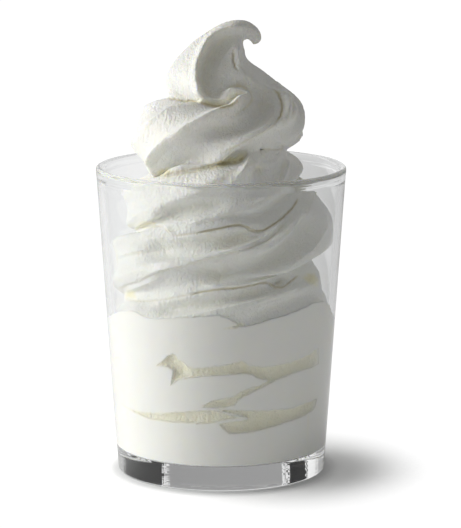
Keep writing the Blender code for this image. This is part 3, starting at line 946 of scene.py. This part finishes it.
def shapeSkin(obj):
    mesh = obj.data
    points = pointsOf(mesh) / mm
    normals = pointsOf(mesh, "vector")
    pressed, limit = skinOf(points)
    # what all but touches the glass is pushed just into it
    radius = np.hypot(points[:, 0], points[:, 1])
    points[:, :2] *= (1.0 + pressed * (limit / np.maximum(radius, 1e-6) - 1.0))[:, None]

    # hollows between the pressed skin and the glass
    free = 1.0 - pressed
    front = np.flatnonzero((pressed > 0.0) & (points[:, 1] < 5.0))
    spots = toPicture(onOuterWall(points[front]))
    torn = tornOf(points[front])
    spots[:, 1] += drawnShape["hollowTorn"] * torn
    for depth, outline in hollows:
        sunk = np.clip(inside(outline, spots) / drawnShape["hollowEdge"], 0.0, 1.0)
        sunk = sunk * sunk * (3.0 - 2.0 * sunk)
        deeper = depth * sunk * (1.0 + 0.3 * torn)
        points[front, :2] *= (1.0 - pressed[front] * deeper / np.hypot(*points[front, :2].T))[:, None]
        free[front] = np.maximum(free[front], np.clip(sunk * 2.0 - 0.4, 0.0, 1.0))

    # what faces the camera is smoothed and drawn anew, clear of the glass
    toCamera = facing(points, calmed(mesh, normals))[:, None]
    toCamera = neighbourMean(mesh, toCamera, creamShape["facingSmoothing"])[:, 0]
    smoothed = neighbourMean(mesh, points, creamShape["frontSmoothing"])
    points += (smoothed - points) * (toCamera * free)[:, None]
    blended = np.zeros(len(points))
    spots = toPicture(points)
    for whole, outline in blends:
        share = np.clip(inside(outline, spots) / drawnShape["blendEdge"], 0.0, 1.0)
        taken = np.where(points[:, 1] < 6.0, np.maximum(toCamera, whole), toCamera)
        blended = np.maximum(blended, share * taken)
    smoothed = neighbourMean(mesh, points, creamShape["blendSmoothing"])
    points += (smoothed - points) * (blended * free)[:, None]
    relief = np.zeros(len(points))
    front = np.flatnonzero((toCamera > 0.0) & (pressed < 1.0))
    relief[front] = drawStrokes(toPicture(points[front]), tornOf(points[front]))[0]
    relief *= toCamera
    relief += reliefOf(points, toCamera)
    mesh.vertices.foreach_set("co", (points * mm).ravel())
    mesh.update()
    points += calmed(mesh, pointsOf(mesh, "vector")) * (relief * free)[:, None]
    radius = np.hypot(points[:, 0], points[:, 1])
    clear = pressedRadius(points[:, 2]) - creamShape["clearance"] * free
    clear = np.where(points[:, 2] < glassHeight, clear, 1000.0)
    points[:, :2] *= np.minimum(1.0, clear / np.maximum(radius, 1e-6))[:, None]
    mesh.vertices.foreach_set("co", (points * mm).ravel())
    mesh.update()


def maskSkin(obj):
    mesh = obj.data
    points = pointsOf(mesh) / mm
    normals = pointsOf(mesh, "vector")
    smoothed = neighbourMean(mesh, points, creamShape["creaseSmoothing"])
    hollow = ((smoothed - points) * normals).sum(axis=1)
    pressed = skinOf(points)[0]
    toCamera = facing(points, normals)
    spots = toPicture(points)
    torn = tornOf(points)
    # painted shade: the dark cores of the slits, on what looks to the camera
    slitShade = drawStrokes(spots, torn)[1] * toCamera
    # painted bounce light: listed patches are tinted yellower
    warm = np.zeros(len(points))
    spots += drawnShape["warmTorn"] * torn[:, None]
    for outline in bounceLightPatches:
        warm = np.maximum(warm, np.clip(inside(outline, spots) / drawnShape["warmEdge"], 0.0, 1.0))
    # painted bounce light and shade in the hollows of the pressed skin, below a level
    spots = toPicture(onOuterWall(points))
    warmth, upTo = creamShape["hollowBounceLight"]
    for depth, outline in hollows:
        sunk = np.clip(inside(outline, spots) / 2.0, 0.0, 1.0)
        warm = np.maximum(warm, warmth * sunk * (points[:, 2] < upTo))
    storeMask(mesh, "pressed", pressed)
    # painted bounce light and shade in creases: the more concave a spot, the yellower it is painted
    storeMask(mesh, "crease", np.clip(hollow - 0.1, 0.0, 1.0))
    # painted shade in the slits, left off the pressed skin
    storeMask(mesh, "slit", slitShade * (1.0 - pressed))
    # painted bounce light, only where the cream looks to the camera
    storeMask(mesh, "warm", warm * toCamera)
    # the pressed skin is shaded as round as the glass
    evenly = points / np.hypot(points[:, 0], points[:, 1])[:, None]
    evenly[:, 2] = -(glassShape["rimRadius"] - glassShape["footRadius"]) / glassHeight
    share = (pressed * (points[:, 2] > glassShape["floor"] + 1.0))[:, None] ** 2
    normals = normals * (1.0 - share) + evenly * share
    normals /= np.linalg.norm(normals, axis=1)[:, None]
    mesh.normals_split_custom_set_from_vertices([tuple(n) for n in normals])


def makeIceCream():
    points, faces = [], []
    tube(ropeRings(), points, faces)
    tube(tipRings(), points, faces)
    floor = glassShape["floor"] + creamShape["offFloor"]
    tube(coreRings((floor, creamShape["coreHeight"]), creamShape["coreRadius"]), points, faces)
    tube(contactRings(), points, faces)
    for knots in fillers:
        tube(fillerRings(knots), points, faces)
    cream = meshObject("iceCreamSwirl", points, faces)
    editMode(cream)
    bpy.ops.mesh.select_all(action="SELECT")
    bpy.ops.mesh.normals_make_consistent(inside=False)
    deselectAll()

    fuse = cream.modifiers.new("fuse", "REMESH")
    fuse.mode = "VOXEL"
    fuse.voxel_size = creamShape["voxel"] * mm
    applyAll(cream)
    # closed pockets inside the swirl are left out
    highest = int(np.argmax(pointsOf(cream.data)[:, 2]))
    for kind in (cream.data.vertices, cream.data.edges, cream.data.polygons):
        kind.foreach_set("select", [False] * len(kind))
    cream.data.vertices[highest].select = True
    editMode(cream, "VERT")
    bpy.ops.mesh.select_linked()
    bpy.ops.mesh.select_all(action="INVERT")
    bpy.ops.mesh.delete(type="VERT")
    deselectAll()
    say(f"swirl fused: {len(cream.data.vertices)} points")
    shapeSkin(cream)
    thin = cream.modifiers.new("thin", "DECIMATE")
    thin.ratio = min(1.0, creamShape["triangles"] / (2 * len(cream.data.polygons)))
    thin.use_collapse_triangulate = True
    applyAll(cream)
    pick(cream)
    bpy.ops.object.shade_smooth()
    maskSkin(cream)
    return cream


# node trees: a socket is given a value, or the output that it takes

def fill(tree, made, sockets):
    for key, value in sockets.items():
        if isinstance(value, bpy.types.NodeSocket):
            tree.links.new(value, made.inputs[key])
        else:
            made.inputs[key].default_value = value


def node(tree, kind, place, sockets=None, **values):
    made = tree.nodes.new("ShaderNode" + kind)
    made.location = place
    for name, value in values.items():
        setattr(made, name, value)
    fill(tree, made, sockets or {})
    return made


def maths(tree, place, operation, *terms):
    return node(tree, "Math", place, dict(enumerate(terms)), operation=operation).outputs[0]


def between(tree, place, value, span, toSpan=(0.0, 1.0), smooth=True):
    # maps one span of values to another
    sockets = {
        "Value": value, "From Min": span[0], "From Max": span[1],
        "To Min": toSpan[0], "To Max": toSpan[1],
    }
    step = "SMOOTHSTEP" if smooth else "LINEAR"
    return node(tree, "MapRange", place, sockets, interpolation_type=step).outputs[0]


def mixed(tree, place, share, first, second):
    # a mix of two numbers
    return node(tree, "Mix", place, {0: share, 2: first, 3: second}).outputs[0]


def mixedColor(tree, place, share, first, second):
    return node(tree, "Mix", place, {0: share, 6: first, 7: second}, data_type="RGBA").outputs[2]


def mixedShader(tree, place, share, first, second):
    return node(tree, "MixShader", place, {0: share, 1: first, 2: second}).outputs[0]


def noiseGroup():
    # noise that is squeezed or drawn out, for the skins of both materials
    group = bpy.data.node_groups.new("stretchedNoise", "ShaderNodeTree")
    inputs = {"Vector": "Vector", "Stretch": "Vector", "Scale": "Float", "Detail": "Float"}
    for name, kind in inputs.items():
        group.interface.new_socket(name, in_out="INPUT", socket_type="NodeSocket" + kind)
    group.interface.new_socket("Height", in_out="OUTPUT", socket_type="NodeSocketFloat")
    given = group.nodes.new("NodeGroupInput")
    given.location = (-600, 0)
    result = group.nodes.new("NodeGroupOutput")
    result.location = (200, 0)
    sockets = {"Vector": given.outputs["Vector"], "Scale": given.outputs["Stretch"]}
    drawn = node(group, "Mapping", (-300, 100), sockets)
    waves = node(group, "TexNoise", (0, 0), {
        "Vector": drawn.outputs[0], "Scale": given.outputs["Scale"], "Detail": given.outputs["Detail"],
    })
    group.links.new(waves.outputs["Fac"], result.inputs["Height"])
    return group


stretchedNoise = noiseGroup()


def drawnNoise(tree, place, coordinates, stretch, scale, detail):
    # stretch is how much finer it is upwards than across
    sockets = {
        "Vector": coordinates, "Stretch": (1.0, 1.0, stretch), "Scale": scale, "Detail": detail,
    }
    return node(tree, "Group", place, sockets, node_tree=stretchedNoise).outputs["Height"]


def newMaterial(name):
    made = bpy.data.materials.new(name)
    made.use_nodes = True
    return made, made.node_tree, made.node_tree.nodes["Principled BSDF"]


def surface(tree, output):
    tree.links.new(output, tree.nodes["Material Output"].inputs["Surface"])


def dress(obj, made):
    obj.data.materials.clear()
    obj.data.materials.append(made)


creamLook = {
    "color": (0.93, 0.925, 0.865, 1.0),
    # painted bounce light and shade in creases: the yellower colour that concave spots get
    "creaseBounceColor": (0.91, 0.86, 0.60, 1.0),
    # painted shade in the slits
    "slitShadeColor": (0.62, 0.55, 0.34, 1.0),
    "roughness": 0.52,
    "specular": 0.35,
    "scatter": 0.4,
    "scatterRadius": (0.0020, 0.0017, 0.0010),
    "fibres": (0.4, 1000.0, 1.0),  # how much finer upwards, scale, detail
    "crystals": (1.0, 1500.0, 2.0),
    "grain": 0.75,
    "grainDepth": 0.00052,
}


def creamMaterial():
    look = creamLook
    made, tree, shader = newMaterial("frozenCream")
    mask = {}
    for row, name in enumerate(("pressed", "crease", "warm", "slit")):
        found = node(tree, "Attribute", (-1200, 250 * row), attribute_name=name)
        mask[name] = found.outputs["Fac"]
    # painted bounce light and shade: creases and bounce-light patches are tinted yellower
    yellow = maths(tree, (-900, 400), "MAXIMUM", mask["crease"], mask["warm"])
    tint = mixedColor(tree, (-600, 300), yellow, look["color"], look["creaseBounceColor"])
    # painted shade: the cores of the slits are darkened
    color = mixedColor(tree, (-300, 300), mask["slit"], tint, look["slitShadeColor"])

    # frozen grain: fine crystals over short pulled fibres, and none where the glass smooths it
    place = node(tree, "TexCoord", (-1400, -400)).outputs["Object"]
    fibres = drawnNoise(tree, (-900, -300), place, *look["fibres"])
    crystals = drawnNoise(tree, (-900, -550), place, *look["crystals"])
    both = maths(tree, (-700, -400), "ADD", fibres, crystals)
    free = maths(tree, (-700, -200), "SUBTRACT", 1.0, mask["pressed"])
    height = maths(tree, (-500, -300), "MULTIPLY", both, free)
    bump = node(tree, "Bump", (-300, -250), {
        "Strength": look["grain"], "Distance": look["grainDepth"], "Height": height,
    })
    fill(tree, shader, {
        "Base Color": color,
        "Normal": bump.outputs["Normal"],
        "Roughness": look["roughness"],
        "Specular IOR Level": look["specular"],
        "Subsurface Weight": look["scatter"],
        "Subsurface Scale": 1.0,
        "Subsurface Radius": look["scatterRadius"],
    })
    return made


glassLook = {
    "color": (0.985, 0.99, 0.99, 1.0),
    "ior": 1.5,
    "lampsThrough": (0.95, 0.955, 0.955, 1.0),
    "turnsInside": 4,
    "relief": (  # scale, how much finer upwards, between which levels it comes in, strength
        (45.0, 1.0, -0.01, 0.0, 0.12),
        (40.0, 22.0, 0.1015, 0.1035, 0.16),
        (130.0, 0.8, 0.0105, 0.0085, 0.06),
    ),
    "reliefDepth": 0.001,
}


def glassMaterial():
    look = glassLook
    made, tree, shader = newMaterial("clearGlass")
    # faint waves all over, drawn-out streaks round the lip and a livelier base
    place = node(tree, "TexCoord", (-1500, -200)).outputs["Object"]
    level = node(tree, "SeparateXYZ", (-1300, -900), {0: place}).outputs["Z"]
    total = None
    for row, (scale, stretch, low, high, strength) in enumerate(look["relief"]):
        y = -200 - 250 * row
        waves = drawnNoise(tree, (-1100, y), place, stretch, scale, 1.0)
        band = between(tree, (-1100, y - 150), level, (low, high), (0.0, strength))
        part = maths(tree, (-900, y), "MULTIPLY", waves, band)
        total = part if total is None else maths(tree, (-700, y), "ADD", total, part)
    bump = node(tree, "Bump", (-300, -200), {
        "Strength": 1.0, "Distance": look["reliefDepth"], "Height": total,
    })
    fill(tree, shader, {
        "Base Color": look["color"],
        "Roughness": 0.0,
        "IOR": look["ior"],
        "Transmission Weight": 1.0,
        "Normal": bump.outputs["Normal"],
    })
    # lamps shine straight through it on to the ice cream
    path = node(tree, "LightPath", (-300, 500)).outputs
    lamps = maths(tree, (-100, 450), "MAXIMUM", path["Is Shadow Ray"], path["Is Diffuse Ray"])
    # light led on and on inside the wall is let out
    led = maths(tree, (-100, 300), "GREATER_THAN", path["Ray Depth"], look["turnsInside"] + 0.5)
    either = maths(tree, (50, 450), "MAXIMUM", lamps, led)
    clear = node(tree, "BsdfTransparent", (0, 250), {"Color": look["lampsThrough"]})
    surface(tree, mixedShader(tree, (300, 300), either, shader.outputs[0], clear.outputs[0]))
    return made


# floor, light and camera, in metres and watts
studio = {
    "ambient": 0.231,
    "backdrop": 1.05,
    "keyPower": 11.1,
    "keySize": 0.7,
    "keyPlace": (-1.06, -0.03, 0.36),
    "keyAim": (0.0, 0.0, 0.08),
    "floorPower": 9.0,
    "floorLampSize": 0.7,
    "floorLampPlace": (-0.45, 0.05, 1.0),
    "floorSize": 6.0,
    "floorLevel": -0.0003,
    "floorGlow": 0.05,
    "floorColor": 0.8,
    "floorGain": 1.25,
    "paintedFootShadow": 0.62,  # painted contact shadow: how bright the floor is close under the glass
    "footShadowSpan": (0.036, 0.043),
    "shadowFade": (0.045, 0.080),  # the shadow fades out between these distances from the middle
    "through": (0.90, 0.62),  # brightness of the backdrop through the glass, left and right
    "throughSpan": (-0.04, 0.04),
    "floorCard": 0.30,
    "floorCardEdge": (0.14, 0.11),
    "walls": (0.9, 0.6),  # what the glass mirrors, left and right
    "wallsSpan": (-0.2, 0.9),
    "wallsFront": 0.1,
    "wallsFrontSpan": (-0.75, -0.35),
    "overhead": 0.85,
    "cardHeight": 0.27,
    "cardEdge": (0.12, 0.16),
    "cardRagged": 0.24,
    "cardRipple": 34.0,
    "cards": (  # direction across, brightness seen there
        (-1.0, 0.55), (-0.86, 0.55), (-0.83, 1.0), (-0.68, 1.0), (-0.66, 0.03), (-0.46, 0.03),
        (-0.455, 0.9), (-0.44, 0.9), (-0.43, 0.34), (0.37, 0.30), (0.385, 0.9), (0.395, 0.9),
        (0.405, 0.035), (0.84, 0.03), (0.87, 0.5), (1.0, 0.5),
    ),
}
cameraLook = {
    "place": (0.0, -0.986, 0.255),
    "lookDown": 10.47,
    "turn": -0.19,
    "lens": 195.14,
    "sensor": 36.0,
}


def makeFloor():
    deselectAll()
    bpy.ops.mesh.primitive_plane_add(size=studio["floorSize"], location=(0, 0, studio["floorLevel"]))
    bpy.ops.object.transform_apply(location=True)
    floor = bpy.context.active_object
    floor.name = "paleFloor"
    made, tree, shader = newMaterial("paleFloor")
    fill(tree, shader, {
        "Base Color": (studio["floorColor"],) * 3 + (1.0,),
        "Roughness": 0.9,
        "Specular IOR Level": 0.1,
    })
    place = node(tree, "TexCoord", (-1500, 700)).outputs["Object"]
    reach = node(tree, "VectorMath", (-900, 700), {0: place}, operation="LENGTH").outputs["Value"]
    split = node(tree, "SeparateXYZ", (-1300, 1000), {0: place}).outputs
    path = node(tree, "LightPath", (-500, 300)).outputs
    throughGlass = path["Is Transmission Ray"]

    # lit as it is, with a painted contact shadow close under the foot
    gain = studio["floorGain"]
    foot = between(tree, (-500, 500), reach, studio["footShadowSpan"], (gain * studio["paintedFootShadow"], gain))
    pale = node(tree, "BsdfDiffuse", (-100, 150), {"Color": foot}).outputs[0]
    glow = node(tree, "Emission", (-100, 0), {"Strength": studio["floorGlow"]}).outputs[0]
    lit = node(tree, "AddShader", (200, 100), {0: pale, 1: glow}).outputs[0]

    # through the glass the backdrop is greyer, more so on the right
    away = maths(tree, (-1100, 900), "ADD", split["Y"], -cameraLook["place"][1])
    across = maths(tree, (-900, 1000), "DIVIDE", split["X"], away)
    through = between(tree, (-700, 1000), across, studio["throughSpan"], studio["through"])
    # close behind the glass, its base shows a card
    near = between(tree, (-500, 1200), reach, studio["floorCardEdge"], smooth=False)
    behind = maths(tree, (-500, 1400), "GREATER_THAN", split["Y"], -0.01)
    nearBehind = maths(tree, (-300, 1300), "MULTIPLY", near, behind)
    darker = mixed(tree, (-100, 1000), nearBehind, through, studio["floorCard"])
    bright = mixed(tree, (100, 900), throughGlass, studio["backdrop"], darker)
    white = node(tree, "Emission", (300, 500), {"Strength": bright}).outputs[0]

    # to the eye, also through the glass, the floor is as bright as the backdrop outside the shadow
    fade = between(tree, (-500, 700), reach, studio["shadowFade"])
    shown = maths(tree, (-100, 1200), "MULTIPLY", nearBehind, throughGlass)
    glowing = maths(tree, (100, 1100), "MAXIMUM", shown, fade)
    either = maths(tree, (0, 400), "MAXIMUM", path["Is Camera Ray"], throughGlass)
    toEye = mixedShader(tree, (500, 400), glowing, lit, white)
    surface(tree, mixedShader(tree, (700, 200), either, shader.outputs[0], toEye))
    dress(floor, made)
    return floor


def rampOf(tree, place, value, stops):
    # a ramp over directions from -1 to 1
    spread = between(tree, (place[0] - 200, place[1]), value, (-1.0, 1.0), smooth=False)
    made = node(tree, "ValToRGB", place, {0: spread})
    ramp = made.color_ramp
    ramp.elements.remove(ramp.elements[1])
    for number, (x, tone) in enumerate(stops):
        stop = ramp.elements.new((x + 1.0) / 2.0) if number else ramp.elements[0]
        stop.position = (x + 1.0) / 2.0
        stop.color = (tone, tone, tone, 1.0)
    return made.outputs[0]


def makeWorld():
    world = bpy.data.worlds.new("studio")
    scene.world = world
    world.use_nodes = True
    tree = world.node_tree
    path = node(tree, "LightPath", (-900, 300)).outputs
    heading = node(tree, "TexCoord", (-2200, -100)).outputs["Generated"]
    split = node(tree, "SeparateXYZ", (-1800, -100), {0: heading}).outputs

    # what the glass mirrors: pale all round, greyer on the right, dark behind the camera
    across = between(tree, (-1400, 0), split["X"], studio["wallsSpan"], studio["walls"], smooth=False)
    toFront = (studio["wallsFront"], 1.0)
    front = between(tree, (-1400, -300), split["Y"], studio["wallsFrontSpan"], toFront, smooth=False)
    walls = maths(tree, (-1100, -100), "MULTIPLY", across, front)

    # what its thick base bends into view: a grey card behind, black flags and white cards beside it
    ripple = node(tree, "TexNoise", (-2000, -500), {
        "Vector": heading, "Scale": studio["cardRipple"], "Detail": 3.0,
    }).outputs["Fac"]
    ragged = studio["cardRagged"]
    centred = maths(tree, (-1800, -500), "MULTIPLY_ADD", ripple, ragged, -0.5 * ragged)
    torn = maths(tree, (-1600, -500), "ADD", centred, split["X"])
    cards = rampOf(tree, (-1200, -500), torn, studio["cards"])
    rise = maths(tree, (-1600, -800), "SUBTRACT", split["Z"], studio["cardHeight"])
    aside = maths(tree, (-1400, -800), "ABSOLUTE", rise)
    beyond = between(tree, (-1200, -800), aside, studio["cardEdge"], smooth=False)
    room = mixed(tree, (-900, -600), beyond, cards, studio["overhead"])

    toGlossy = mixed(tree, (-700, 100), path["Is Glossy Ray"], studio["ambient"], walls)
    toGlass = mixed(tree, (-500, 100), path["Is Transmission Ray"], toGlossy, room)
    seen = mixed(tree, (-300, 100), path["Is Camera Ray"], toGlass, studio["backdrop"])
    fill(tree, tree.nodes["Background"], {"Color": (1, 1, 1, 1), "Strength": seen})


def softbox(name, place, size, power, listed, onlyListed):
    # lights only the listed objects, or all but them
    data = bpy.data.lights.new(name, "AREA")
    data.shape = "SQUARE"
    data.size = size
    data.energy = power
    lamp = bpy.data.objects.new(name, data)
    scene.collection.objects.link(lamp)
    lamp.location = place
    toAim = Vector(studio["keyAim"]) - lamp.location
    lamp.rotation_euler = toAim.to_track_quat("-Z", "Y").to_euler()
    chosen = bpy.data.collections.new(name + "Linked")
    for obj in listed:
        chosen.objects.link(obj)
    lamp.light_linking.receiver_collection = chosen
    for row in chosen.collection_objects:
        row.light_linking.link_state = "INCLUDE" if onlyListed else "EXCLUDE"


def makeLights(floor, glass):
    # the glass mirrors the room alone
    size, place = studio["keySize"], studio["keyPlace"]
    softbox("keySoftbox", place, size, studio["keyPower"], (floor, glass), False)
    # the backdrop has a lamp of its own, so that it burns out to white
    size, place = studio["floorLampSize"], studio["floorLampPlace"]
    softbox("floorSoftbox", place, size, studio["floorPower"], (floor,), True)


def makeCamera():
    data = bpy.data.cameras.new("camera")
    data.sensor_width = cameraLook["sensor"]
    data.lens = cameraLook["lens"]
    camera = bpy.data.objects.new("camera", data)
    scene.collection.objects.link(camera)
    camera.location = cameraLook["place"]
    tilt = math.radians(90.0 - cameraLook["lookDown"])
    camera.rotation_euler = (tilt, 0.0, math.radians(cameraLook["turn"]))
    scene.camera = camera


makeCamera()
makeWorld()
scene.view_settings.view_transform = "Standard"
say("camera and backdrop are in place")

glass = makeGlass()
makeLights(makeFloor(), glass)
dress(glass, glassMaterial())
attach(glass, "root")
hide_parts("glass")
say(f"glass: {len(glass.data.polygons)} faces")

cream = makeIceCream()
dress(cream, creamMaterial())
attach(cream, "root")
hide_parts("ice_cream")
say(f"ice cream: {len(cream.data.polygons)} faces")
